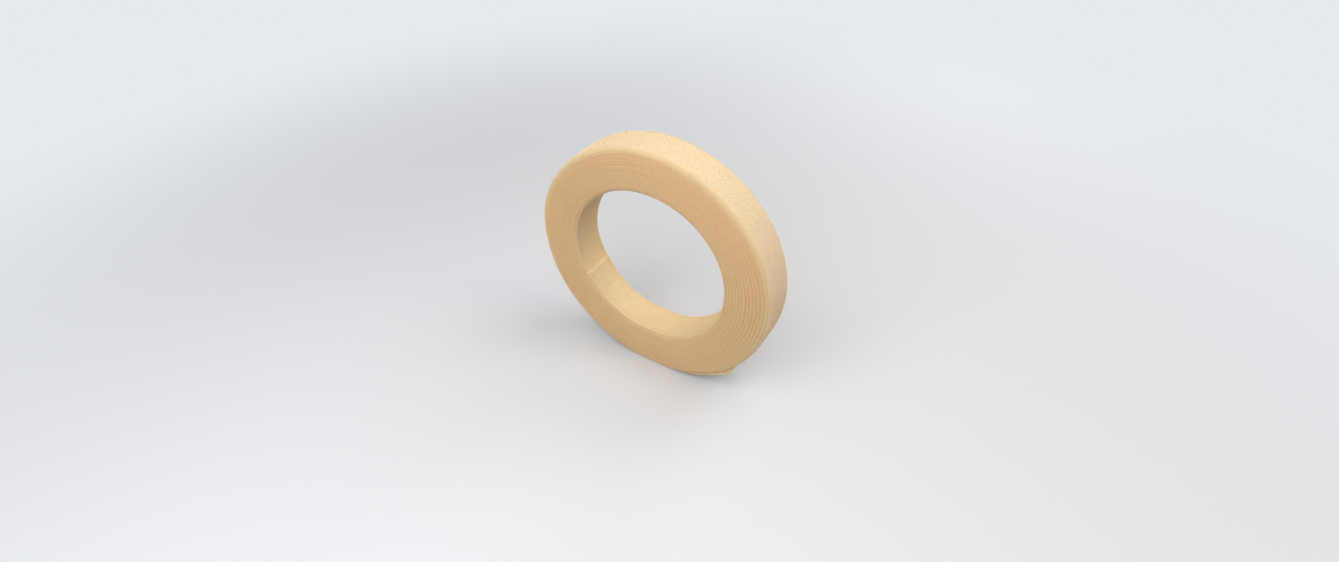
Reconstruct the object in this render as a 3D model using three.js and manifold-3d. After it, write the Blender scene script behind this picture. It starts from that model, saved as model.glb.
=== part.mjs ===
// A roll of back-to-back hook and loop tape, standing on its rim. Millimetres, +Z up.
//
// The tape is two webs bonded back to back: a moulded hook film, which faces the bore,
// and a brushed loop fabric, which faces out. It is wound on itself with no core, and
// the hooks of each turn grip the loops of the turn inside it. The roll's axis lies
// along Y. Angles are in degrees, anticlockwise as seen from the front (-Y), from +X.
//
// Both ends of the tape peel. The last stretch of the outer turn and the first stretch
// of the inner turn are chains of short links, each nested in the group of the link
// that carries it, so turning the groups about Y bends the tape.

import * as THREE from "three";
import { mergeVertices } from "three/addons/utils/BufferGeometryUtils.js";
import Module from "manifold-3d";

const wasm = await Module();
wasm.setup();

// The tape
const tapeWidth = 12.7;
const filmThickness = 0.26;
const fabricThickness = 0.42;
const gripGap = 0.43; // between turns, where the hooks stand in the loops

// The winding
const boreRadius = 27.9; // at the inner end of the tape
const wholeTurns = 14;
const innerEndAngle = 207;
const outerEndAngle = 315.2;
const footAngle = 270;
const footDepth = 0.5; // how far the rim is pressed flat where the roll stands
const boreOffset = -1; // along X, from the rim's middle to the bore's
const slackDepth = 0.7; // how much flatter than round the rim is about the slack angle
const slackAngle = 127;
const slackSpread = 45; // to either side
const stepsPerTurn = 36; // one of them is the flat of the foot

// The two ends that peel
const outerLinks = 6;
const innerLinks = 5;
const innerBaseSteps = 2; // the inner end leaves the roll this far before the foot
const linkGap = 0.3;
const tipLift = 0.95; // the outer tip stands this much off the turn below

// The hooks on the film of both ends, which face the bore
const hookColumns = 9;
const hookRows = 3; // on each link
const hookWidth = 0.4;
const hookStem = 0.16;
const hookReach = 0.3;
const hookClearance = 0.15; // from the tip to the loops of the turn below
const hookSink = 0.08; // how deep a stem is rooted in the film
const throatShare = 0.4; // of the hook's height, up to the underside of its crook
const shoulderShare = 0.8; // of its height and reach, where the crook rounds over

const turnPitch = filmThickness + fabricThickness + gripGap;
const tapeThickness = filmThickness + fabricThickness;
const hookHeight = gripGap - hookClearance;
const halfWidth = tapeWidth / 2;
const degree = Math.PI / 180;

// The winding grows steadily round the arc of each turn and not across the foot, so that
// the foot is level. Its outer radius there comes from the turns that lie above it.
const footRadius =
  boreRadius + tapeThickness + turnPitch * (wholeTurns + (footAngle - innerEndAngle) / 360);
const footHalfAngle = Math.acos(1 - footDepth / footRadius) / degree;
const arcAngle = 360 - 2 * footHalfAngle;
const footStart = footAngle - footHalfAngle;
const footEnd = footAngle + footHalfAngle;
const stepAngle = arcAngle / (stepsPerTurn - 1);

// How many turns of growth lie before an angle, counted from the end of the first foot.
function growthAt(angle) {
  const turn = Math.floor((angle - footEnd) / 360);
  const past = angle - footEnd - turn * 360;
  return turn + Math.min(past, arcAngle) / arcAngle;
}

// Radius of the hook film's inner face at an angle along the winding.
function radiusAt(angle) {
  return boreRadius + turnPitch * (growthAt(angle) - growthAt(innerEndAngle));
}

const lastAngle = outerEndAngle + 360 * wholeTurns;

// The share of the winding that lies before an angle, from 0 at the bore to 1 at the rim.
function woundShare(angle) {
  return (angle - innerEndAngle) / (lastAngle - innerEndAngle);
}

const lowestTurn = footEnd + 360 * wholeTurns;
const axisHeight = (radiusAt(lowestTurn) + tapeThickness) * Math.cos(footHalfAngle * degree);

// Where the two peeling ends leave the roll: the outer one at the end of the foot, so that
// it can be laid down level with it.
const outerBase = lowestTurn;
const innerBase = footStart - innerBaseSteps * stepAngle;
const outerLinkAngle = (lastAngle - outerBase) / outerLinks;
const innerLinkAngle = (innerBase - innerEndAngle) / innerLinks;

// How far the winding is drawn in where the turns lie slack, from none at the bore.
function slackAt(angle) {
  const around = ((angle - slackAngle + 180) % 360) - 180;
  const within = Math.min(1, Math.abs(around) / slackSpread);
  return slackDepth * woundShare(angle) * Math.cos((within * Math.PI) / 2) ** 2;
}

// A station of the tape: its angle, its radius, how much the flat of the foot draws it in,
// and how far the turn lies to the side.
function station(angle) {
  const alongTail = Math.max(0, (angle - outerBase) / (lastAngle - outerBase));
  const turn = Math.floor((angle - footStart) / 360);
  const fromFoot = Math.abs(angle - footAngle - turn * 360);
  const drawn = Math.cos(footHalfAngle * degree) / Math.cos(fromFoot * degree);
  return {
    angle: angle * degree,
    radius: radiusAt(angle) + tipLift * alongTail ** 2 - slackAt(angle),
    scale: fromFoot < footHalfAngle ? drawn : 1,
    aside: boreOffset * (1 - woundShare(angle)),
  };
}

// A point of the tape in the plane of the roll, at a depth outwards from the film's face.
function pointAt({ angle, radius, scale, aside }, depth) {
  const outwards = new THREE.Vector2(Math.cos(angle), Math.sin(angle));
  return outwards.multiplyScalar((radius + depth) * scale).add(new THREE.Vector2(aside, 0));
}

// A web of the tape between two depths, lofted through stations as one closed strip.
function webGeometry(stations, innerDepth, outerDepth, pivot) {
  const positions = [];
  for (const s of stations) {
    const inner = pointAt(s, innerDepth).sub(pivot);
    const outer = pointAt(s, outerDepth).sub(pivot);
    positions.push(inner.x, -halfWidth, inner.y, inner.x, halfWidth, inner.y);
    positions.push(outer.x, halfWidth, outer.y, outer.x, -halfWidth, outer.y);
  }
  const faces = [];
  const quad = (a, b, c, d) => faces.push(a, c, b, a, d, c);
  for (let i = 0; i + 1 < stations.length; i++) {
    for (let side = 0; side < 4; side++) {
      const next = (side + 1) % 4;
      quad(4 * i + side, 4 * i + next, 4 * (i + 1) + next, 4 * (i + 1) + side);
    }
  }
  const last = 4 * (stations.length - 1);
  quad(3, 2, 1, 0);
  quad(last, last + 1, last + 2, last + 3);
  return new THREE.BufferGeometry()
    .setAttribute("position", new THREE.Float32BufferAttribute(positions, 3))
    .setIndex(faces);
}

// Boolean joins, on geometry whose corners are shared.
const sameCorner = 1e-4;

function toSolid(geometry) {
  const bare = geometry.clone().deleteAttribute("normal").deleteAttribute("uv");
  const merged = mergeVertices(bare, sameCorner);
  return new wasm.Manifold(
    new wasm.Mesh({
      numProp: 3,
      vertProperties: merged.attributes.position.array,
      triVerts: new Uint32Array(merged.index.array),
    }),
  );
}

function toGeometry(solid) {
  const mesh = solid.getMesh();
  return new THREE.BufferGeometry()
    .setAttribute("position", new THREE.BufferAttribute(mesh.vertProperties, 3))
    .setIndex(new THREE.BufferAttribute(mesh.triVerts, 1));
}

// One moulded hook, rooted below the film's face: a tapered stem and a crook.
function hookGeometry() {
  const throat = hookHeight * throatShare;
  const shoulder = hookHeight * shoulderShare;
  const shape = new THREE.Shape();
  shape.moveTo(-hookStem, -hookSink);
  shape.lineTo(hookStem, -hookSink);
  shape.lineTo(hookStem / 2, throat);
  shape.lineTo(hookReach, throat);
  shape.lineTo(hookReach * shoulderShare, shoulder);
  shape.lineTo(hookStem / 2, hookHeight);
  shape.lineTo(-hookStem / 2, shoulder);
  return new THREE.ExtrudeGeometry(shape, { depth: hookWidth, bevelEnabled: false }).translate(
    0,
    0,
    -hookWidth / 2,
  );
}

// The film of a link with its field of hooks. Neighbouring columns crook opposite ways.
function hookedFilm(film, from, to, pivot) {
  const start = pointAt(from, 0).sub(pivot);
  const end = pointAt(to, 0).sub(pivot);
  const along = end.clone().sub(start);
  const direction = along.clone().normalize();
  const inwards = new THREE.Vector3(-direction.y, 0, direction.x);
  let solid = toSolid(film);
  for (let column = 0; column < hookColumns; column++) {
    const y = -halfWidth + (tapeWidth * (column + 0.5)) / hookColumns;
    const crook = column % 2 ? 1 : -1;
    const forward = new THREE.Vector3(direction.x, 0, direction.y).multiplyScalar(crook);
    const sideways = new THREE.Vector3().crossVectors(forward, inwards);
    for (let row = 0; row < hookRows; row++) {
      const root = start.clone().addScaledVector(along, (row + 0.5) / hookRows);
      const place = new THREE.Matrix4().makeBasis(forward, inwards, sideways);
      place.setPosition(root.x, y, root.y);
      solid = solid.add(toSolid(hookGeometry().applyMatrix4(place)));
    }
  }
  return toGeometry(solid);
}

const filmMaterial = new THREE.MeshStandardMaterial({
  color: new THREE.Color(0.97, 0.7, 0.39),
  roughness: 0.5,
  metalness: 0,
});
const fabricMaterial = new THREE.MeshStandardMaterial({
  color: new THREE.Color(0.97, 0.82, 0.56),
  roughness: 0.9,
  metalness: 0,
});

function mesh(name, geometry, material) {
  const made = new THREE.Mesh(geometry, material);
  geometry.computeVertexNormals();
  made.name = name;
  return made;
}

// The stations of the wound turns between two angles: both ends, and the steps between.
function woundStations(from, to) {
  const angles = [from];
  for (let turn = -1; turn <= wholeTurns; turn++) {
    for (let k = 0; k < stepsPerTurn; k++) {
      const angle = footEnd + 360 * turn + k * stepAngle;
      if (angle > from && angle < to) angles.push(angle);
    }
  }
  angles.push(to);
  return angles.map(station);
}

// Half of a link's gap as an angle, at the radius of the tape there.
const halfGap = (angle) => linkGap / 2 / radiusAt(angle) / degree;

// Two webs, film inside and fabric outside, that share the face they are bonded at.
function addWebs(group, name, stations, pivot, film) {
  const fabric = webGeometry(stations, filmThickness, tapeThickness, pivot);
  group.add(mesh(`${name}_hook_film`, film, filmMaterial));
  group.add(mesh(`${name}_loop_fabric`, fabric, fabricMaterial));
}

// The wound turns.
const roll = new THREE.Group();
roll.name = "roll";
roll.position.z = axisHeight;
const wound = woundStations(innerBase + halfGap(innerBase), outerBase - halfGap(outerBase));
const axis = new THREE.Vector2(0, 0);
addWebs(roll, "wound", wound, axis, webGeometry(wound, 0, filmThickness, axis));

// A peeling end: links from its base outwards, each hung on the one before at a pivot in
// the bond between the webs.
function addTail(name, links, base, linkAngle) {
  let carrier = roll;
  let carrierPivot = axis;
  for (let i = 0; i < links; i++) {
    const near = base + i * linkAngle;
    const far = near + linkAngle;
    const isTip = i === links - 1;
    const pivot = pointAt(station(near), filmThickness);
    const inset = Math.sign(linkAngle) * halfGap(near);
    const ends = [near + inset, isTip ? far : far - inset].sort((a, b) => a - b).map(station);
    const group = new THREE.Group();
    group.name = `${name}_${i + 1}`;
    group.position.set(pivot.x - carrierPivot.x, 0, pivot.y - carrierPivot.y);
    const film = webGeometry(ends, 0, filmThickness, pivot);
    addWebs(group, group.name, ends, pivot, hookedFilm(film, ends[0], ends[1], pivot));
    carrier.add(group);
    carrier = group;
    carrierPivot = pivot;
  }
}

addTail("outer_end", outerLinks, outerBase, outerLinkAngle);
addTail("inner_end", innerLinks, innerBase, -innerLinkAngle);

// The least gap between one turn and the next, from points on the outer face of the tape
// to the nearest faces of the turn outside it.
function leastGap(stations) {
  const facesAround = 3;
  const outer = stations.map((s) => pointAt(s, tapeThickness));
  const inner = stations.map((s) => pointAt(s, 0));
  const nearest = new THREE.Vector2();
  let least = Infinity;
  for (let i = 0; i + 1 < stations.length; i++) {
    const points = [outer[i], outer[i].clone().lerp(outer[i + 1], 0.5)];
    const first = Math.max(i + 1, i + stepsPerTurn - facesAround);
    const last = Math.min(stations.length - 1, i + stepsPerTurn + facesAround);
    for (let j = first; j < last; j++) {
      const face = new THREE.Line3(
        new THREE.Vector3(inner[j].x, inner[j].y, 0),
        new THREE.Vector3(inner[j + 1].x, inner[j + 1].y, 0),
      );
      for (const p of points) {
        const found = face.closestPointToPoint(new THREE.Vector3(p.x, p.y, 0), true, new THREE.Vector3());
        least = Math.min(least, nearest.set(found.x, found.y).distanceTo(p));
      }
    }
  }
  return least;
}
console.log(`least gap between turns ${leastGap(wound).toFixed(3)} mm`);

const part = new THREE.Group();
part.name = "hook_and_loop_tape_roll";
part.add(roll);

export default part;
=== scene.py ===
import math
import random

import bpy
import numpy as np
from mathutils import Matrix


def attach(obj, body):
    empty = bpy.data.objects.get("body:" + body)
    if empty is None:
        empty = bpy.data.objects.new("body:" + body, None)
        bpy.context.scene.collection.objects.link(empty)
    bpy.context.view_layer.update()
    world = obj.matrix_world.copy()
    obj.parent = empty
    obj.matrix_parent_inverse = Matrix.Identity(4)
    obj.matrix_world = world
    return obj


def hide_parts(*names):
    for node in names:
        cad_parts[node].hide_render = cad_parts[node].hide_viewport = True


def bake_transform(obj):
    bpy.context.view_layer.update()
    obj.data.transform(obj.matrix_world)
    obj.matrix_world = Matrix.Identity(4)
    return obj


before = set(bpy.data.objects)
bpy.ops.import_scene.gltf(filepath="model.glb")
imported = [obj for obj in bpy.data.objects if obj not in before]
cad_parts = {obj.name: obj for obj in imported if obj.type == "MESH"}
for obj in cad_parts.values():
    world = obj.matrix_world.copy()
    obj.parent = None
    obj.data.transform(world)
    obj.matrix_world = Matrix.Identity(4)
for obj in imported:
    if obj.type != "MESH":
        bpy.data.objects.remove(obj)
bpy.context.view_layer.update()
mm = 0.001

# The tape and its winding, as in the part: angles in degrees, anticlockwise from +X
# as seen from the front
tape = {
    "width": 12.7 * mm,
    "film": 0.26 * mm,
    "fabric": 0.42 * mm,
    "grip": 0.43 * mm,  # between turns, where hooks stand in loops
    "bore": 27.9 * mm,
    "turns": 14,
    "innerEnd": 207,
    "outerEnd": 315.2,
    "foot": 270,
    "footDepth": 0.5 * mm,
    "footSoftness": 0.3 * mm,  # how gently the rim turns into the flat
    "boreOffset": -1 * mm,  # along X, from the rim's middle to the bore's
    "slackDepth": 0.7 * mm,  # how much flatter than round the rim is about the slack angle
    "slackAngle": 127,
    "slackSpread": 45,
    "tipLift": 0.95 * mm,
    "stepAngle": 2,
}

# The two ends that peel, in links from the roll outwards
outerTail = {
    "name": "outer_end",
    "links": 6,
    "barePieces": 2,  # from the roll outwards, pressed flat on the floor
}
innerTail = {
    "name": "inner_end",
    "links": 5,
    "barePieces": 6,  # all of them, gripped by the next turn
    "baseSteps": 2,
    "stepsPerTurn": 36,
}

pitch = tape["film"] + tape["fabric"] + tape["grip"]
turnsToFoot = tape["turns"] + (tape["foot"] - tape["innerEnd"]) / 360
footRadius = tape["bore"] + tape["film"] + tape["fabric"] + pitch * turnsToFoot
footHalf = math.degrees(math.acos(1 - tape["footDepth"] / footRadius))
lastAngle = tape["outerEnd"] + 360 * tape["turns"]
outerBase = tape["foot"] + footHalf + 360 * tape["turns"]
innerStep = (360 - 2 * footHalf) / (innerTail["stepsPerTurn"] - 1)
innerBase = tape["foot"] - footHalf - innerTail["baseSteps"] * innerStep
outerLink = (lastAngle - outerBase) / outerTail["links"]
innerLink = (innerBase - tape["innerEnd"]) / innerTail["links"]
axisHeight = footRadius * math.cos(math.radians(footHalf))


def woundShare(angle):
    # from 0 at the bore to 1 at the rim
    return (angle - tape["innerEnd"]) / (lastAngle - tape["innerEnd"])


def bondRadius(angle):
    # radius of the bond between film and fabric, drawn in over the foot
    grown = tape["bore"] + tape["film"] + pitch * (angle - tape["innerEnd"]) / 360
    fromFoot = np.radians((angle - tape["foot"] + 180) % 360 - 180)
    press = grown / 2 * (math.radians(footHalf) ** 2 - fromFoot**2)
    soft = tape["footSoftness"]
    drawn = (press + np.sqrt(press**2 + soft**2)) / 2
    tail = np.clip((angle - outerBase) / (lastAngle - outerBase), 0, 1)
    around = np.abs((angle - tape["slackAngle"] + 180) % 360 - 180)
    within = np.minimum(1, around / tape["slackSpread"])
    slack = tape["slackDepth"] * woundShare(angle) * np.cos(within * math.pi / 2) ** 2
    return grown - drawn + tape["tipLift"] * tail**2 - slack


pathAngles = np.arange(tape["innerEnd"], lastAngle, tape["stepAngle"], dtype=float)
pathAngles[-1] = lastAngle
pathRadii = bondRadius(pathAngles)
pathX = pathRadii * np.cos(np.radians(pathAngles))
pathX += tape["boreOffset"] * (1 - woundShare(pathAngles))
pathY = pathRadii * np.sin(np.radians(pathAngles))
pathRuns = np.hypot(np.diff(pathX), np.diff(pathY))
pathLengths = np.concatenate([[0], np.cumsum(pathRuns)])


def alongTape(angle):
    return float(np.interp(angle, pathAngles, pathLengths))


def deselect():
    if bpy.context.object and bpy.context.object.mode != "OBJECT":
        bpy.ops.object.mode_set(mode="OBJECT")
    bpy.ops.object.select_all(action="DESELECT")


def pick(piece):
    deselect()
    piece.select_set(True)
    bpy.context.view_layer.objects.active = piece


def settle(piece):
    pick(piece)
    bpy.ops.object.transform_apply(location=True, rotation=True, scale=True)


def applyAll(piece):
    pick(piece)
    for modifier in list(piece.modifiers):
        bpy.ops.object.modifier_apply(modifier=modifier.name)


def joinPieces(main, *others):
    pick(main)
    for other in others:
        other.select_set(True)
    bpy.ops.object.join()


# The spiral that the tape is wound on, drawn flat and stood up after the winding
spiral = bpy.data.curves.new("spiral", "CURVE")
spiral.dimensions = "2D"
spiral.use_path = True
line = spiral.splines.new("POLY")
line.points.add(len(pathAngles) - 1)
spots = np.column_stack([pathX, pathY, np.zeros_like(pathX), np.ones_like(pathX)])
line.points.foreach_set("co", spots.ravel())
winding = bpy.data.objects.new("winding", spiral)
bpy.context.collection.objects.link(winding)
print(f"tape length {pathLengths[-1]:.3f} m in {(lastAngle - tape['innerEnd']) / 360:.2f} turns")

# Slight sideways wander of the edges from turn to turn, the dome of the roll's sides, and
# how their edges are rounded at the rim and at the bore: across the tape and through the
# wall
wander = {"strength": 0.28 * mm, "scale": 0.035}
dome = 0.55 * mm
rimRound = {"across": 0.8 * mm, "deep": 2.2 * mm}
boreRound = {"across": 0.7 * mm, "deep": 1.8 * mm}
stepBlend = 0.06  # of a turn, over which the rounding starts next to an end of the tape
tipBlend = 0.12  # of a turn, over which it fades towards the tip of the outer end
smoothAngle = 40  # degrees, up to which faces are shaded as one
wanderNoise = bpy.data.textures.new("wander", "CLOUDS")
wanderNoise.noise_scale = wander["scale"]
wanderNoise.noise_depth = 1


def softFloor(turns):
    # counts whole turns, with a smooth rise just before each
    rise = np.clip((turns % 1 - 1) / stepBlend + 1, 0, 1)
    return np.floor(turns) + rise**2 * (3 - 2 * rise)


def roundedBy(depth, shape):
    # how far a rounded edge is drawn in at a depth below the surface
    rest = 1 - np.clip(depth / shape["deep"], 0, 1)
    return shape["across"] * (1 - np.sqrt(1 - rest**2))


def fromTip(outside):
    return np.clip(outside / tipBlend, 0, 1)


def readPlaces(piece):
    places = np.empty(len(piece.data.vertices) * 3)
    piece.data.vertices.foreach_get("co", places)
    return places.reshape(-1, 3)


def turnsOf(places):
    # how many turns lie inside and outside each point of a flat piece
    angles = np.interp(places[:, 0], pathLengths, pathAngles)
    return (angles - tape["innerEnd"]) / 360, (lastAngle - angles) / 360


def wallDepths(places):
    # how deep in the wall each point of a flat piece will lie, from the bore and the rim
    inside, outside = turnsOf(places)
    fromBond = -places[:, 1]
    fromBore = softFloor(inside) * pitch + tape["film"] + fromBond
    fromRim = softFloor(outside) * pitch + rimPile["to"] - fromBond
    return fromBore, fromRim


def narrow(piece):
    # domes the sides of the roll and rounds their edges
    places = readPlaces(piece)
    inside, outside = turnsOf(places)
    fromBore, fromRim = wallDepths(places)
    fromMiddle = (inside - outside) / (inside + outside)
    amount = dome * (fromMiddle**2 - 1)
    amount += roundedBy(fromBore, boreRound)
    amount += roundedBy(fromRim, rimRound) * fromTip(outside)
    places[:, 2] *= 1 - 2 * amount / tape["width"]
    piece.data.vertices.foreach_set("co", places.ravel())


def drawOut(piece):
    # draws the pile below the lifted outer end out to it, as hooks do that still hold it
    places = readPlaces(piece)
    outside = turnsOf(places)[1]
    tail = (lastAngle - outerBase) / 360
    below = outside > 1 - edgeLoop["pastTip"] / 360
    lifted = np.where(below, np.clip(1 - (outside - 1) / tail, 0, 1), 0)
    more = tape["tipLift"] / tape["grip"] * lifted**2
    places[:, 1] += (places[:, 1] + tape["fabric"]) * more
    piece.data.vertices.foreach_set("co", places.ravel())


def droop(piece):
    # lays the pile of the open face over the rounded edges
    places = readPlaces(piece)
    outside = turnsOf(places)[1]
    flat = tape["width"] / 2 - rimRound["across"]
    over = np.clip((np.abs(places[:, 2]) - flat) / rimRound["across"], 0, loop["layOver"])
    drop = rimRound["deep"] * (1 - np.sqrt(1 - over**2)) * fromTip(outside)
    places[:, 1] += np.maximum(drop - softFloor(outside) * pitch, 0)
    piece.data.vertices.foreach_set("co", places.ravel())


def wind(piece, shape=narrow):
    # lays a flat piece of tape on the spiral: X runs along it and -Y faces out
    shape(piece)
    drift = piece.modifiers.new("drift", "DISPLACE")
    drift.texture = wanderNoise
    drift.texture_coords = "LOCAL"
    drift.direction = "Z"
    drift.strength = wander["strength"]
    wrap = piece.modifiers.new("wrap", "CURVE")
    wrap.object = winding
    wrap.deform_axis = "POS_X"
    applyAll(piece)
    piece.rotation_euler = (math.pi / 2, 0, 0)
    piece.location = (0, 0, axisHeight)
    settle(piece)
    restOnFloor(piece)
    pick(piece)
    bpy.ops.object.shade_smooth_by_angle(angle=math.radians(smoothAngle))


def restOnFloor(piece):
    # the pile under the foot is pressed flat
    places = readPlaces(piece)
    places[:, 2] = np.maximum(places[:, 2], 0)
    piece.data.vertices.foreach_set("co", places.ravel())


def markFlat(piece):
    # keeps the flat place on the tape and the depth in the wall as UV maps, in millimetres
    mesh = piece.data
    corners = np.empty(len(mesh.loops), dtype=np.int32)
    mesh.loops.foreach_get("vertex_index", corners)
    places = readPlaces(piece)
    maps = {"flat": places[:, (0, 2)], "wall": np.column_stack(wallDepths(places))}
    for old in list(mesh.uv_layers):
        mesh.uv_layers.remove(old)
    for title, spots in maps.items():
        spread = spots[corners] / mm
        mesh.uv_layers.new(name=title).data.foreach_set("uv", spread.ravel())


def cutWeb(name, first, last, web):
    # a flat strip of one web between two angles of the winding
    start = alongTape(first)
    end = alongTape(last)
    steps = max(fewestSteps, round((end - start) / web["step"]))
    deselect()
    bpy.ops.mesh.primitive_grid_add(
        x_subdivisions=steps,
        y_subdivisions=web["across"],
        size=1,
        location=((start + end) / 2, -web["from"], 0),
        rotation=(math.pi / 2, 0, 0),
    )
    strip = bpy.context.object
    strip.name = name
    strip.scale = (end - start, tape["width"] - 2 * web["inset"], 1)
    settle(strip)
    bpy.ops.object.mode_set(mode="EDIT")
    bpy.ops.mesh.select_all(action="SELECT")
    bpy.ops.mesh.extrude_region_move(
        TRANSFORM_OT_translate={"value": (0, web["from"] - web["to"], 0)}
    )
    bpy.ops.mesh.select_all(action="SELECT")
    bpy.ops.mesh.normals_make_consistent(inside=False)
    bpy.ops.object.mode_set(mode="OBJECT")
    roundEdges(strip, web)
    markFlat(strip)
    return strip


def roundEdges(strip, web):
    # rounds the long edges and leaves the cut ends square
    mesh = strip.data
    places = readPlaces(strip)
    pairs = np.empty(len(mesh.edges) * 2, dtype=np.int32)
    mesh.edges.foreach_get("vertices", pairs)
    pairs = pairs.reshape(-1, 2)
    atEdge = np.abs(places[:, 2]) > tape["width"] / 2 - web["inset"] - near
    runs = np.abs(places[pairs[:, 0], 0] - places[pairs[:, 1], 0]) > near
    pick(strip)
    bpy.context.tool_settings.mesh_select_mode = (False, True, False)
    bpy.ops.object.mode_set(mode="EDIT")
    bpy.ops.mesh.select_all(action="DESELECT")
    bpy.ops.object.mode_set(mode="OBJECT")
    mesh.edges.foreach_set("select", atEdge[pairs].all(axis=1) & runs)
    bpy.ops.object.mode_set(mode="EDIT")
    bpy.ops.mesh.bevel(offset=web["round"], segments=roundSteps, affect="EDGES")
    bpy.ops.object.mode_set(mode="OBJECT")
    bpy.context.tool_settings.mesh_select_mode = (True, False, False)


# The webs: depths outwards from the bond, how far their edges are drawn in and rounded,
# and how finely they follow the winding
fewestSteps = 3
roundSteps = 2
near = 0.001 * mm  # closer than this counts as the same place
bite = 0.02 * mm  # how far layers that touch run into each other
hookFilm = {
    "from": -tape["film"],
    "to": 0,
    "inset": 0.04 * mm,
    "round": 0.05 * mm,
    "across": 2,
    "step": 1.0 * mm,
}
loopGround = {
    "from": 0,
    "to": tape["fabric"],
    "inset": 0,
    "round": 0.12 * mm,
    "across": 4,
    "step": 1.0 * mm,
}
grippedPile = {
    "from": tape["fabric"] - bite,
    "to": tape["fabric"] + tape["grip"] + bite,
    "inset": 0.07 * mm,
    "round": 0.06 * mm,
    "across": 2,
    "step": 1.0 * mm,
}
rimPile = {
    "from": tape["fabric"] - bite,
    "to": tape["fabric"] + 0.16 * mm,
    "inset": 0.1 * mm,
    "round": 0.08 * mm,
    "across": 8,
    "step": 0.8 * mm,
}

# The hooks: a tapered stem with a crook, in pairs that crook opposite ways
hook = {
    "pitch": 0.76 * mm,
    "columns": 8,
    "stem": 0.2 * mm,
    "width": 0.24 * mm,
    "taper": (0.7, 0.8),  # what is left of stem and width at the crook
    "straight": 0.15 * mm,
    "bend": 0.036 * mm,
    "turn": 150,
    "steps": 3,
    "pair": (0.3, 0.7),  # where the two of a pair stand, in pitches along the tape
}


def makeHook(atX, atZ, turned):
    deselect()
    stemLeft, widthLeft = hook["taper"]
    bpy.ops.mesh.primitive_plane_add(size=1, rotation=(-math.pi / 2, 0, 0))
    made = bpy.context.object
    made.scale = (hook["stem"], hook["width"], 1)
    settle(made)
    bpy.ops.object.mode_set(mode="EDIT")
    bpy.ops.mesh.select_all(action="SELECT")
    bpy.ops.mesh.extrude_region_move(
        TRANSFORM_OT_translate={"value": (0, hook["straight"], 0)}
    )
    bpy.ops.transform.resize(value=(stemLeft, 1, widthLeft))
    bpy.ops.mesh.spin(
        steps=hook["steps"],
        angle=math.radians(hook["turn"]),
        center=(hook["stem"] * stemLeft / 2 + hook["bend"], hook["straight"], 0),
        axis=(0, 0, 1),
    )
    bpy.ops.object.mode_set(mode="OBJECT")
    made.rotation_euler = (0, turned, 0)
    made.location = (atX, tape["film"] - bite, atZ)
    settle(made)
    return made


def hookField(name, first, last):
    # rows of hooks on the film between two angles of the winding
    start = alongTape(first)
    end = alongTape(last)
    rows = max(1, int((end - start) / hook["pitch"]))
    left = hook["pitch"] * (0.5 - hook["columns"])
    atFirst, atSecond = (start + hook["pitch"] * share for share in hook["pair"])
    field = makeHook(atFirst, left, 0)
    joinPieces(field, makeHook(atSecond, left + hook["pitch"], math.pi))
    field.name = name
    repeatPiece(
        field,
        (
            ("columns", hook["columns"], (0, 0, 2 * hook["pitch"])),
            ("rows", rows, ((end - start) / rows, 0, 0)),
        ),
    )
    applyAll(field)
    markFlat(field)
    return field


# The loop pile: arches of fibre in clumps, each clump brushed another way
loop = {
    "fibre": 0.045 * mm,
    "sides": 3,
    "steps": 4,
    "cells": 4,  # loops along and across each clump
    "clump": 2.05 * mm,  # one repeat of the pile, along and across the tape
    "margin": 0.05 * mm,  # bare at the edges of the tape
    "span": (0.5 * mm, 1.1 * mm),
    "height": (0.26 * mm, 0.46 * mm),
    "lean": 40,
    "layOver": 0.8,  # of the rounded edge, past which loops lie no lower
    "root": 0.1 * mm,
    "seed": 11,
}
# Loops that stand out sideways between the turns
edgeLoop = {
    "fibre": 0.034 * mm,
    "perClump": 2,
    "clump": 0.95 * mm,
    "span": (0.4 * mm, 0.9 * mm),
    "height": (0.18 * mm, 0.36 * mm),
    "root": 0.16 * mm,
    "swing": 35,
    "stiffness": 3,  # how much less they are brushed from turn to turn than along
    "seed": 23,
    "row": 0.5,  # of the way from one turn to the next
    "heldRows": (0.2, 0.35, 0.65, 0.8),  # more of them below the lifted outer end
    "pastTip": 0.65,  # degrees
}
brushing = {"strength": 0.7 * mm, "scale": 1.1 * mm}
brushNoise = bpy.data.textures.new("brushing", "CLOUDS")
brushNoise.noise_scale = brushing["scale"]
brushNoise.noise_depth = 1


def makeArch(chance, kind):
    # one loop of fibre with its feet at y = 0, standing out along -Y
    span = chance.uniform(*kind["span"])
    tall = chance.uniform(*kind["height"])
    deselect()
    bpy.ops.mesh.primitive_circle_add(
        vertices=loop["sides"],
        radius=kind["fibre"],
        fill_type="NGON",
        location=(-span / 2, 0, 0),
        rotation=(math.pi / 2, 0, 0),
    )
    arch = bpy.context.object
    settle(arch)
    bpy.ops.object.mode_set(mode="EDIT")
    bpy.ops.mesh.select_all(action="SELECT")
    bpy.ops.mesh.spin(steps=loop["steps"], angle=math.pi, center=(0, 0, 0), axis=(0, 0, -1))
    bpy.ops.mesh.select_all(action="SELECT")
    bpy.ops.mesh.normals_make_consistent(inside=False)
    bpy.ops.object.mode_set(mode="OBJECT")
    arch.scale = (1, tall / (span / 2), 1)
    settle(arch)
    return arch


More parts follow.
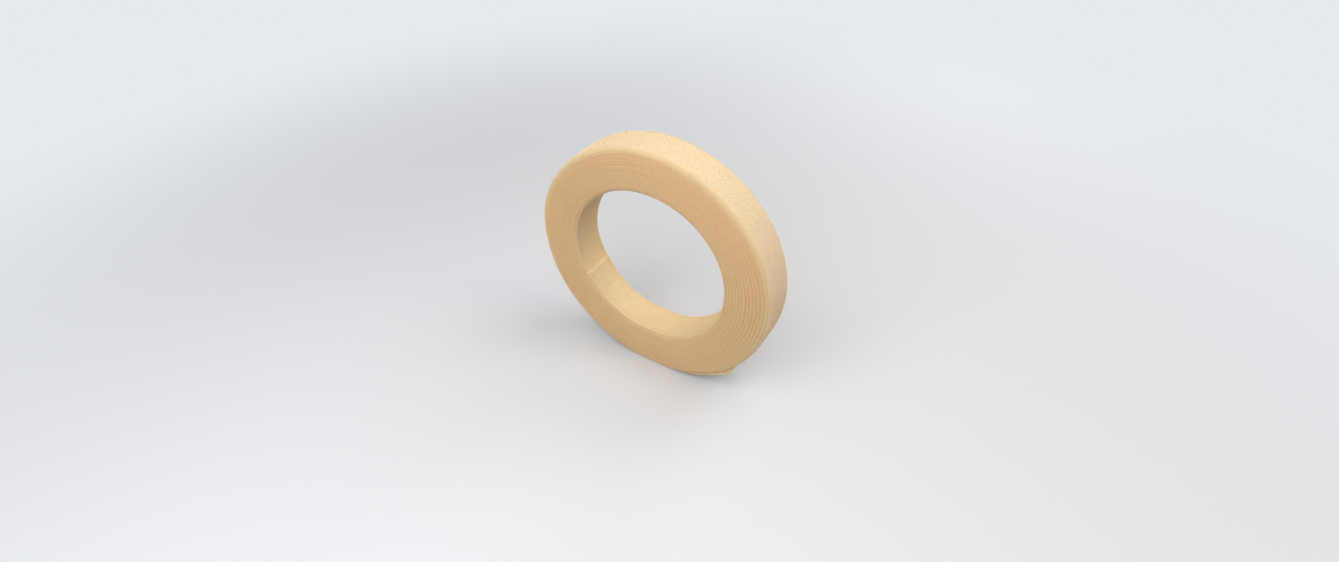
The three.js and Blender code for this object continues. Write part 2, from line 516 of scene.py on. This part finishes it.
def makeClump():
    # arches for one repeat of the pile, at every turn and lean
    chance = random.Random(loop["seed"])
    cell = loop["clump"] / loop["cells"]
    arches = []
    for spot in range(loop["cells"] ** 2):
        column, row = divmod(spot, loop["cells"])
        arch = makeArch(chance, loop)
        lean = math.radians(chance.uniform(-loop["lean"], loop["lean"]))
        arch.rotation_euler = (lean, chance.uniform(0, math.pi), 0)
        arch.location = (cell * (column + chance.random()), 0, cell * (row + chance.random()))
        settle(arch)
        arches.append(arch)
    joinPieces(*arches)
    return arches[0]


def makeEdgeClump():
    # arches that stand out along +Z
    chance = random.Random(edgeLoop["seed"])
    arches = []
    for _ in range(edgeLoop["perClump"]):
        arch = makeArch(chance, edgeLoop)
        swing = math.radians(chance.uniform(-edgeLoop["swing"], edgeLoop["swing"]))
        arch.rotation_euler = (-math.pi / 2 + swing / 2, 0, swing)
        arch.location = (chance.uniform(0, edgeLoop["clump"]), 0, 0)
        settle(arch)
        arches.append(arch)
    joinPieces(*arches)
    return arches[0]


def repeatPiece(piece, steps):
    for title, count, offset in steps:
        repeat = piece.modifiers.new(title, "ARRAY")
        repeat.use_relative_offset = False
        repeat.use_constant_offset = True
        repeat.count = count
        repeat.constant_offset_displace = offset


def brush(piece, directions):
    for direction, strength in directions:
        push = piece.modifiers.new(f"brush{direction}", "DISPLACE")
        push.texture = brushNoise
        push.texture_coords = "LOCAL"
        push.direction = direction
        push.strength = strength


def copyOf(piece, name):
    pick(piece)
    bpy.ops.object.duplicate(linked=False)
    bpy.context.object.name = name
    return bpy.context.object


def center(piece):
    # brings a flat piece back to the middle of the tape
    places = readPlaces(piece)
    places[:, 2] -= (places[:, 2].min() + places[:, 2].max()) / 2
    piece.data.vertices.foreach_set("co", places.ravel())


def loopField(name, first, last, surface):
    # the pile on the tape's outer face between two angles of the winding
    start = alongTape(first)
    end = alongTape(last)
    rows = max(1, round((end - start) / loop["clump"]))
    room = tape["width"] - 2 * loop["margin"]
    columns = round(room / loop["clump"])
    field = copyOf(loopClump, name)
    field.location = (start, loop["root"] - surface, -room / 2)
    settle(field)
    repeatPiece(
        field,
        (
            ("columns", columns, (0, 0, room / columns)),
            ("rows", rows, ((end - start) / rows, 0, 0)),
        ),
    )
    brush(field, (("X", brushing["strength"]), ("Z", brushing["strength"])))
    applyAll(field)
    center(field)
    markFlat(field)
    drawOut(field)
    wind(field, droop)
    return field


def edgeField(name, first, last, side, row):
    # one row of the pile that shows between the turns at one edge of the tape
    start = alongTape(first)
    end = alongTape(last)
    count = round((end - start) / edgeLoop["clump"])
    depth = tape["fabric"] + tape["grip"] * row
    edge = tape["width"] / 2 - edgeLoop["root"]
    field = copyOf(edgeClump, name)
    field.rotation_euler = (0 if side > 0 else math.pi, 0, 0)
    field.location = (start, -depth, side * edge)
    settle(field)
    repeatPiece(field, (("along", count, ((end - start) / count, 0, 0)),))
    strength = brushing["strength"]
    brush(field, (("X", strength), ("Y", strength / edgeLoop["stiffness"])))
    applyAll(field)
    markFlat(field)
    drawOut(field)
    wind(field)
    return field


# Materials


def newFinish(name, color, roughness):
    material = bpy.data.materials.new(name)
    material.use_nodes = True
    nodes = material.node_tree.nodes
    shader = nodes["Principled BSDF"]
    shader.inputs["Base Color"].default_value = (*color, 1)
    shader.inputs["Roughness"].default_value = roughness
    return material, nodes, material.node_tree.links, shader


def noise(nodes, links, vector, pattern):
    shaped = nodes.new("ShaderNodeMapping")
    shaped.inputs["Scale"].default_value = pattern["stretch"]
    links.new(vector, shaped.inputs["Vector"])
    grain = nodes.new("ShaderNodeTexNoise")
    grain.inputs["Scale"].default_value = pattern["scale"]
    grain.inputs["Detail"].default_value = pattern["detail"]
    links.new(shaped.outputs["Vector"], grain.inputs["Vector"])
    return grain.outputs["Fac"]


def mathNode(nodes, links, operation, *values):
    made = nodes.new("ShaderNodeMath")
    made.operation = operation
    for socket, value in zip(made.inputs, values):
        links.new(value, socket)
    return made.outputs["Value"]


def smoothRange(nodes, links, value, low, high, atLow, atHigh):
    made = nodes.new("ShaderNodeMapRange")
    made.interpolation_type = "SMOOTHSTEP"
    for title, number in (
        ("From Min", low),
        ("From Max", high),
        ("To Min", atLow),
        ("To Max", atHigh),
    ):
        if isinstance(number, bpy.types.NodeSocket):
            links.new(number, made.inputs[title])
        else:
            made.inputs[title].default_value = number
    links.new(value, made.inputs["Value"])
    return made.outputs["Result"]


def blendColors(nodes, links, factor, first, second):
    made = nodes.new("ShaderNodeMix")
    made.data_type = "RGBA"
    links.new(factor, made.inputs["Factor"])
    for title, color in (("A", first), ("B", second)):
        socket = next(s for s in made.inputs if s.name == title and s.type == "RGBA")
        if isinstance(color, tuple):
            socket.default_value = (*color, 1)
        else:
            links.new(color, socket)
    return next(s for s in made.outputs if s.type == "RGBA")


def mapOf(nodes, title):
    made = nodes.new("ShaderNodeUVMap")
    made.uv_map = title
    return made.outputs["UV"]


def splitMap(nodes, links, title):
    made = nodes.new("ShaderNodeSeparateXYZ")
    links.new(mapOf(nodes, title), made.inputs["Vector"])
    return made.outputs["X"], made.outputs["Y"]


# Painted light and shade on the edges, in mm: the edges are painted paler through the wall
# towards the rim and the bore, for light that comes through the tape from the lit faces, and
# across the tape the open faces are painted darker towards their edges
paintedEdgeLight = {"rimDeep": 3.2, "boreDeep": 2.5, "atBore": 0.2, "fade": 2.6, "rimFade": 0.4}


def tapeColorAndPaintedLight(nodes, links, finish):
    # pale on the open faces and tan on the edges, which are painted paler towards the rim and
    # the bore as painted light, while the open faces are painted darker towards their edges as
    # painted shade
    half = tape["width"] / 2 / mm
    fromBore, fromRim = splitMap(nodes, links, "wall")
    atBore = smoothRange(nodes, links, fromBore, 0, paintedEdgeLight["boreDeep"], paintedEdgeLight["atBore"], 0)
    atRim = smoothRange(nodes, links, fromRim, 0, paintedEdgeLight["rimDeep"], 1, 0)
    # how much painted light each edge gets, from how deep it lies from the rim and from the bore
    paintedLightShare = mathNode(nodes, links, "MAXIMUM", atBore, atRim)
    edge = blendColors(nodes, links, paintedLightShare, finish["tan"], finish["shoulder"])
    across = mathNode(nodes, links, "ABSOLUTE", splitMap(nodes, links, "flat")[1])
    # where the painted shade towards the edges of the open faces begins: close to the edge next
    # to the rim, further in elsewhere
    fadeStart = smoothRange(
        nodes, links, atRim, 0, 1, half - paintedEdgeLight["fade"], half - paintedEdgeLight["rimFade"]
    )
    openFace = smoothRange(nodes, links, across, fadeStart, half, 1, 0)
    return blendColors(nodes, links, openFace, edge, finish["pale"])


noiseRange = (0.3, 0.7)  # where most of a noise pattern lies


def mottle(nodes, links, color, factor, shade):
    # darkens a colour a little where the pattern is low
    level = nodes.new("ShaderNodeMapRange")
    level.inputs["From Min"].default_value = noiseRange[0]
    level.inputs["From Max"].default_value = noiseRange[1]
    level.inputs["To Min"].default_value = shade
    level.inputs["To Max"].default_value = 1
    links.new(factor, level.inputs["Value"])
    mixed = nodes.new("ShaderNodeVectorMath")
    mixed.operation = "SCALE"
    if isinstance(color, tuple):
        mixed.inputs[0].default_value = color
    else:
        links.new(color, mixed.inputs[0])
    links.new(level.outputs["Result"], mixed.inputs["Scale"])
    return mixed.outputs["Vector"]


def relief(nodes, links, height, shader, shape):
    bump = nodes.new("ShaderNodeBump")
    bump.inputs["Distance"].default_value = shape["distance"]
    bump.inputs["Strength"].default_value = shape["strength"]
    links.new(height, bump.inputs["Height"])
    links.new(bump.outputs["Normal"], shader.inputs["Normal"])


# The open faces are pale, and the edges in the wall of the roll are tan; near the rim and the
# bore the edges are painted in the paler second tone, painted light for light that comes through
# the tape
loopFinish = {
    "pale": (0.97, 0.77, 0.51),
    # the next tone is painted on the edges near the rim and the bore: painted light
    "shoulder": (0.96, 0.69, 0.38),
    "tan": (0.93, 0.585, 0.29),
    "shade": 0.88,
    "fuzz": {"scale": 2.4, "detail": 3, "stretch": (0.6, 1, 1)},
    "strands": {"scale": 1.5, "detail": 2, "stretch": (1, 1, 1)},
    "relief": {"distance": 0.1 * mm, "strength": 0.6},
    "roughness": 0.9,
    "sheen": 0.2,
    "sheenRoughness": 0.5,
    "glow": 0.3,
    "glowRadius": 1.0 * mm,
}
filmFinish = {
    "pale": (0.97, 0.70, 0.39),
    # the next tone is painted on the edges near the rim and the bore: painted light
    "shoulder": (0.965, 0.69, 0.385),
    "tan": (0.94, 0.63, 0.33),
    "shade": 0.94,
    "cloud": {"scale": 0.3, "detail": 3, "stretch": (1, 1, 1)},
    "grain": {"scale": 6.0, "detail": 2, "stretch": (1, 1, 1)},
    "relief": {"distance": 0.03 * mm, "strength": 0.4},
    "roughness": 0.45,
    "glow": 0.4,
    "glowRadius": 1.4 * mm,
}
glowReach = (1.0, 0.7, 0.45)  # red light goes deepest


def softGlow(shader, finish):
    shader.inputs["Subsurface Weight"].default_value = finish["glow"]
    shader.inputs["Subsurface Radius"].default_value = glowReach
    shader.inputs["Subsurface Scale"].default_value = finish["glowRadius"]


def makeLoopMaterial():
    finish = loopFinish
    material, nodes, links, shader = newFinish("brushedLoop", finish["pale"], finish["roughness"])
    fuzz = noise(nodes, links, mapOf(nodes, "flat"), finish["fuzz"])
    # the tape's colours, with painted light on the edges near the rim and the bore and painted
    # shade towards the edges of the open faces
    color = tapeColorAndPaintedLight(nodes, links, finish)
    color = mottle(nodes, links, color, fuzz, finish["shade"])
    links.new(color, shader.inputs["Base Color"])
    relief(nodes, links, fuzz, shader, finish["relief"])
    shader.inputs["Sheen Weight"].default_value = finish["sheen"]
    shader.inputs["Sheen Roughness"].default_value = finish["sheenRoughness"]
    softGlow(shader, finish)
    return material


def makeFibreMaterial(name, atEdge):
    # fibres on the open face are pale up to its edges
    finish = loopFinish
    material, nodes, links, shader = newFinish(name, finish["pale"], finish["roughness"])
    color = finish["pale"]
    if atEdge:
        # edge fibres take the tape's colours, with the painted light near the rim and the bore
        # and the painted shade towards the edges of the open faces
        color = tapeColorAndPaintedLight(nodes, links, finish)
    strands = noise(nodes, links, mapOf(nodes, "flat"), finish["strands"])
    color = mottle(nodes, links, color, strands, finish["shade"])
    links.new(color, shader.inputs["Base Color"])
    shader.inputs["Sheen Weight"].default_value = finish["sheen"]
    return material


def makeFilmMaterial():
    finish = filmFinish
    material, nodes, links, shader = newFinish("mouldedFilm", finish["pale"], finish["roughness"])
    flat = mapOf(nodes, "flat")
    cloud = noise(nodes, links, flat, finish["cloud"])
    grain = noise(nodes, links, flat, finish["grain"])
    # the tape's colours, with painted light on the edges near the rim and the bore and painted
    # shade towards the edges of the open faces
    color = tapeColorAndPaintedLight(nodes, links, finish)
    color = mottle(nodes, links, color, cloud, finish["shade"])
    links.new(color, shader.inputs["Base Color"])
    relief(nodes, links, grain, shader, finish["relief"])
    softGlow(shader, finish)
    return material


loopMaterial = makeLoopMaterial()
filmMaterial = makeFilmMaterial()
faceFibres = makeFibreMaterial("faceFibres", False)
edgeFibres = makeFibreMaterial("edgeFibres", True)
print("materials made")


def dress(piece, material):
    piece.data.materials.clear()
    piece.data.materials.append(material)


def makeWeb(name, first, last, web):
    strip = cutWeb(name, first, last, web)
    wind(strip)
    return strip


def makeHooks(name, first, last):
    field = hookField(name, first, last)
    wind(field)
    return field


# The wound turns
woundFirst = innerBase + innerLink / 2
woundLast = outerBase - outerLink / 2
tipAbove = lastAngle - 360  # where the rim comes out from under the outer end
underTail = outerBase - 360
pressedShare = 0.4  # of the outer end, which presses the pile below it
pileEnd = underTail + pressedShare * (lastAngle - outerBase)

woundFilm = makeWeb("woundFilm", woundFirst, woundLast, hookFilm)
dress(woundFilm, filmMaterial)
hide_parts("wound_hook_film")
boreLast = innerBase + 360  # so that the film below the inner end has hooks too
boreHooks = makeHooks("boreHooks", woundFirst, boreLast)
dress(boreHooks, filmMaterial)
woundGround = makeWeb("woundGround", woundFirst, woundLast, loopGround)
dress(woundGround, loopMaterial)
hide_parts("wound_loop_fabric")
woundPile = makeWeb("woundPile", woundFirst, pileEnd, grippedPile)
dress(woundPile, loopMaterial)
rim = makeWeb("rimPile", pileEnd, woundLast, rimPile)
dress(rim, loopMaterial)
for piece in (woundFilm, boreHooks, woundGround, woundPile, rim):
    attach(piece, "roll")
print("wound turns made")

# Fibres on the rim, up to the foot, where they are pressed flat, and along both edges
loopClump = makeClump()
edgeClump = makeEdgeClump()
rimFibres = {"parts": 3, "pressedAngle": 13}
rimLast = outerBase - footHalf - rimFibres["pressedAngle"]
span = (rimLast - underTail) / rimFibres["parts"]
for number in range(rimFibres["parts"]):
    first = underTail + number * span
    loops = loopField(f"rimLoops{number + 1}", first, first + span, rimPile["to"])
    dress(loops, faceFibres)
    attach(loops, "roll")
for name, side in (("frontFuzz", 1), ("backFuzz", -1)):
    fuzz = edgeField(name, woundFirst, tipAbove, side, edgeLoop["row"])
    for row in edgeLoop["heldRows"]:
        heldLast = tipAbove + edgeLoop["pastTip"]
        joinPieces(fuzz, edgeField(f"{name}Held", underTail, heldLast, side, row))
    dress(fuzz, edgeFibres)
    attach(fuzz, "roll")
print("fibres made")


# The two ends: a piece of tape across each hinge, from the middle of one link to the
# middle of the next
def makeTail(tail, base, link, pile):
    name = tail["name"]
    for number in range(1, tail["links"] + 2):
        isTip = number == tail["links"] + 1
        start = base + link * (number - 1.5)
        end = base + link * (number - 1 if isTip else number - 0.5)
        first, last = sorted((start, end))
        label = f"{name}Tip" if isTip else f"{name}{number}"
        film = makeWeb(f"{label}Film", first, last, hookFilm)
        joinPieces(film, makeHooks(f"{label}Hooks", first, last))
        dress(film, filmMaterial)
        cloth = makeWeb(f"{label}Loop", first, last, loopGround)
        joinPieces(cloth, makeWeb(f"{label}Pile", first, last, pile))
        dress(cloth, loopMaterial)
        parts = [film, cloth]
        if number > tail["barePieces"]:
            loops = loopField(f"{label}Fibres", first, last, pile["to"])
            dress(loops, faceFibres)
            parts.append(loops)
        inward = "roll" if number == 1 else f"{name}_{number - 1}"
        for piece in parts:
            if isTip:
                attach(piece, inward)
            else:
                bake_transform(piece)
        if not isTip:
            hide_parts(f"{name}_{number}_hook_film")
            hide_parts(f"{name}_{number}_loop_fabric")


makeTail(outerTail, outerBase, outerLink, rimPile)
makeTail(innerTail, innerBase, -innerLink, grippedPile)
print("both ends made")

for helper in (winding, loopClump, edgeClump):
    bpy.data.objects.remove(helper)

# Camera, light and floor
view = {
    "unit": 43.75 * mm,  # of the distance and the target
    "azimuth": 31.26,
    "elevation": 40.17,
    "roll": 0.17,
    "distance": 5.31,
    "target": (0.096, 0.005, 0.826),
    "lens": 18.32,
    "sensor": 36,
    "nearest": 10 * mm,
}
deselect()
bpy.ops.object.camera_add()
camera = bpy.context.object
turn = math.radians(view["azimuth"])
rise = math.radians(view["elevation"])
reach = view["distance"] * view["unit"]
aim = [value * view["unit"] for value in view["target"]]
camera.location = (
    aim[0] + reach * math.sin(turn) * math.cos(rise),
    aim[1] - reach * math.cos(turn) * math.cos(rise),
    aim[2] + reach * math.sin(rise),
)
camera.rotation_euler = (math.pi / 2 - rise, math.radians(view["roll"]), turn)
camera.data.lens = view["lens"]
camera.data.sensor_width = view["sensor"]
camera.data.clip_start = view["nearest"]
bpy.context.scene.camera = camera

studio = {"light": (1, 0.985, 0.96), "strength": 0.28, "seen": (0.80, 0.82, 0.85)}


def seenRays(nodes, links):
    # 1 for rays that show the background: straight, mirrored or through glass
    rays = nodes.new("ShaderNodeLightPath")
    either = rays.outputs["Is Camera Ray"]
    for kind in ("Is Glossy Ray", "Is Transmission Ray"):
        either = mathNode(nodes, links, "MAXIMUM", either, rays.outputs[kind])
    return either


def mixShaders(nodes, links, factor, first, second, output):
    mixed = nodes.new("ShaderNodeMixShader")
    links.new(factor, mixed.inputs["Fac"])
    links.new(first, mixed.inputs[1])
    links.new(second, mixed.inputs[2])
    links.new(mixed.outputs["Shader"], nodes[output].inputs["Surface"])


# The floor looks pale, throws less light back than that, and passes into the backdrop
floorLook = {
    "size": 4,
    "color": (0.72, 0.74, 0.77),
    "bounce": (0.22, 0.25, 0.29),
    "roughness": 0.9,
    "fade": (0.12, 0.38),  # from the middle, in metres
}


def makeFloorMaterial():
    look = floorLook
    material, nodes, links, shader = newFinish("paleFloor", look["color"], look["roughness"])
    seen = seenRays(nodes, links)
    color = blendColors(nodes, links, seen, look["bounce"], look["color"])
    links.new(color, shader.inputs["Base Color"])
    place = nodes.new("ShaderNodeTexCoord")
    away = nodes.new("ShaderNodeVectorMath")
    away.operation = "LENGTH"
    links.new(place.outputs["Object"], away.inputs[0])
    far = smoothRange(nodes, links, away.outputs["Value"], *look["fade"], 0, 1)
    shown = mathNode(nodes, links, "MULTIPLY", far, seen)
    haze = nodes.new("ShaderNodeEmission")
    haze.inputs["Color"].default_value = (*studio["seen"], 1)
    surfaces = (shader.outputs["BSDF"], haze.outputs["Emission"])
    mixShaders(nodes, links, shown, *surfaces, "Material Output")
    return material


deselect()
bpy.ops.mesh.primitive_plane_add(size=floorLook["size"])
floor = bpy.context.object
floor.name = "floor"
floor.data.materials.append(makeFloorMaterial())

white = (1, 1, 1)
warm = (1, 0.75, 0.55)
softboxes = {
    "keyLight": {"size": 0.6, "energy": 2.35, "color": white, "place": (0.31, 0.21, 0.66)},
    "fillLight": {"size": 0.36, "energy": 1.04, "color": white, "place": (0.0, -0.25, 0.29)},
    "backLight": {"size": 0.2, "energy": 0.35, "color": white, "place": (0.05, 0.43, 0.12)},
    "sideLight": {"size": 0.3, "energy": 0.28, "color": warm, "place": (0.46, 0.0, 0.4)},
}
lightTarget = (0, 0, axisHeight)


def hangSoftbox(name, box):
    deselect()
    bpy.ops.object.light_add(type="AREA", location=box["place"])
    lamp = bpy.context.object
    lamp.name = name
    lamp.data.shape = "SQUARE"
    lamp.data.size = box["size"]
    lamp.data.energy = box["energy"]
    lamp.data.color = box["color"]
    away = np.array(box["place"]) - np.array(lightTarget)
    tilt = math.atan2(math.hypot(away[0], away[1]), away[2])
    lamp.rotation_euler = (tilt, 0, math.atan2(away[1], away[0]) + math.pi / 2)


for name, box in softboxes.items():
    hangSoftbox(name, box)

world = bpy.data.worlds.new("studio")
bpy.context.scene.world = world
world.use_nodes = True
worldNodes = world.node_tree.nodes
worldLinks = world.node_tree.links
lighting = worldNodes["Background"]
lighting.inputs["Color"].default_value = (*studio["light"], 1)
lighting.inputs["Strength"].default_value = studio["strength"]
backdrop = worldNodes.new("ShaderNodeBackground")
backdrop.inputs["Color"].default_value = (*studio["seen"], 1)
mixShaders(
    worldNodes,
    worldLinks,
    seenRays(worldNodes, worldLinks),
    lighting.outputs["Background"],
    backdrop.outputs["Background"],
    "World Output",
)
bpy.context.scene.view_settings.view_transform = "Standard"

print("camera, light and floor set")
